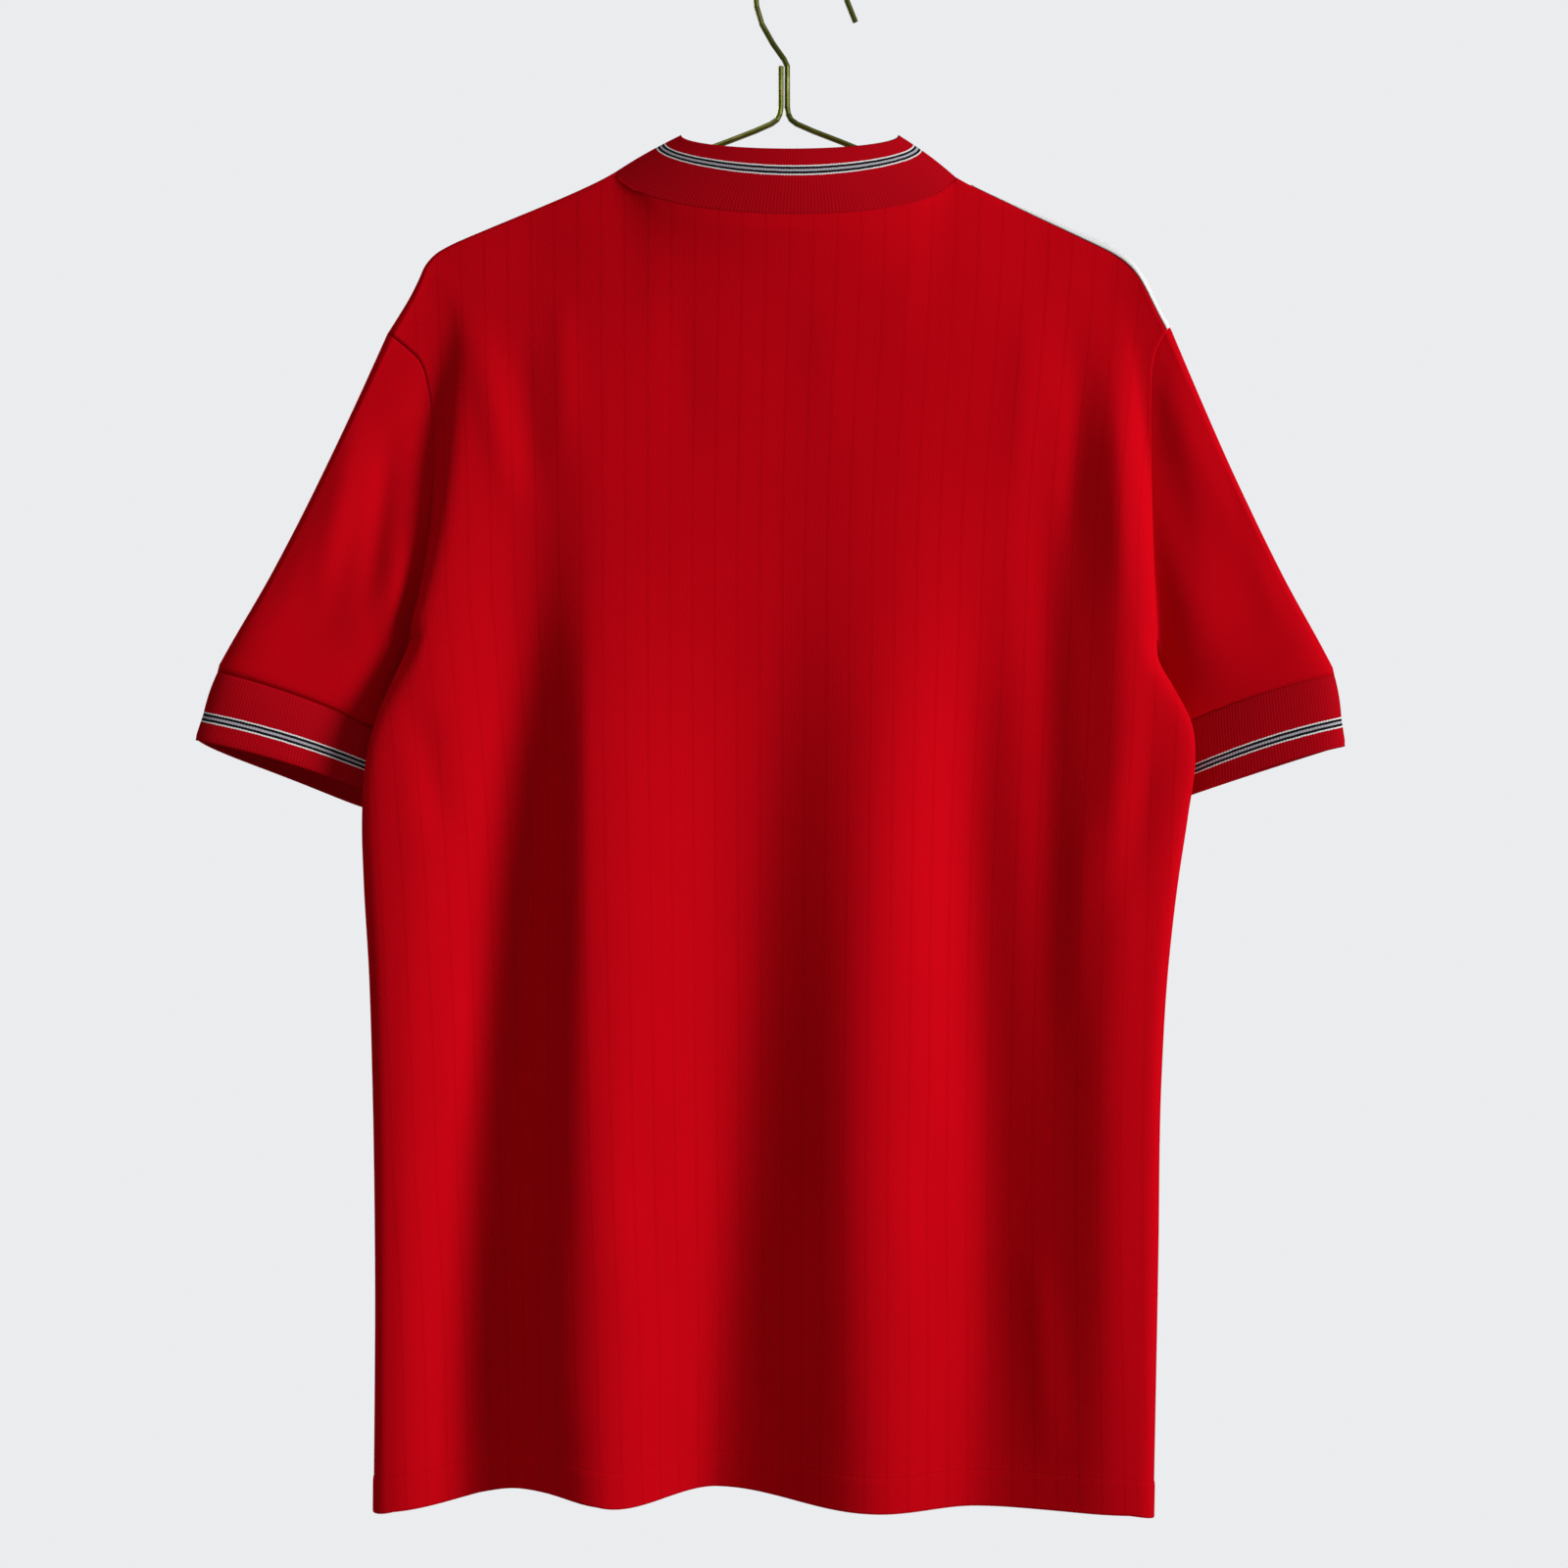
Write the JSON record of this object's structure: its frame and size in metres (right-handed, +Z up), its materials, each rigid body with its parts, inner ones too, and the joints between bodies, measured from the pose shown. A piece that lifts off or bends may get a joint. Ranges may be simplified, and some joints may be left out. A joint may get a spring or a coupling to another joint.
{
  "type": "football jersey on a wire hanger",
  "caption": "Short-sleeved football jersey with ribbed collar and cuffs and taped shoulders, hanging open and empty on a bent wire hanger",
  "frame": {"origin": "inner top of the hanger's hook, where a rail or nail carries it", "axes": "+Z up, +Y towards the jersey's back, +X towards the wearer's left"},
  "size_m": [0.6516, 0.0848, 0.8911],
  "materials": {
    "cloth_red": "matt knitted polyester, red",
    "rib_red": "ribbed knit, darker red",
    "tape_white": "flat woven tape, white",
    "wire_gilt": "steel wire with an olive gilt coat, half gloss"
  },
  "bodies": {
    "root": {"back_panel": "cloth_red", "front_panel": "cloth_red", "sleeve_left": "cloth_red", "sleeve_right": "cloth_red", "cuff_left": "rib_red", "cuff_right": "rib_red", "collar": "rib_red", "shoulder_tape_left": "tape_white", "shoulder_tape_right": "tape_white", "hanger": "wire_gilt"}
  },
  "joints": []
}
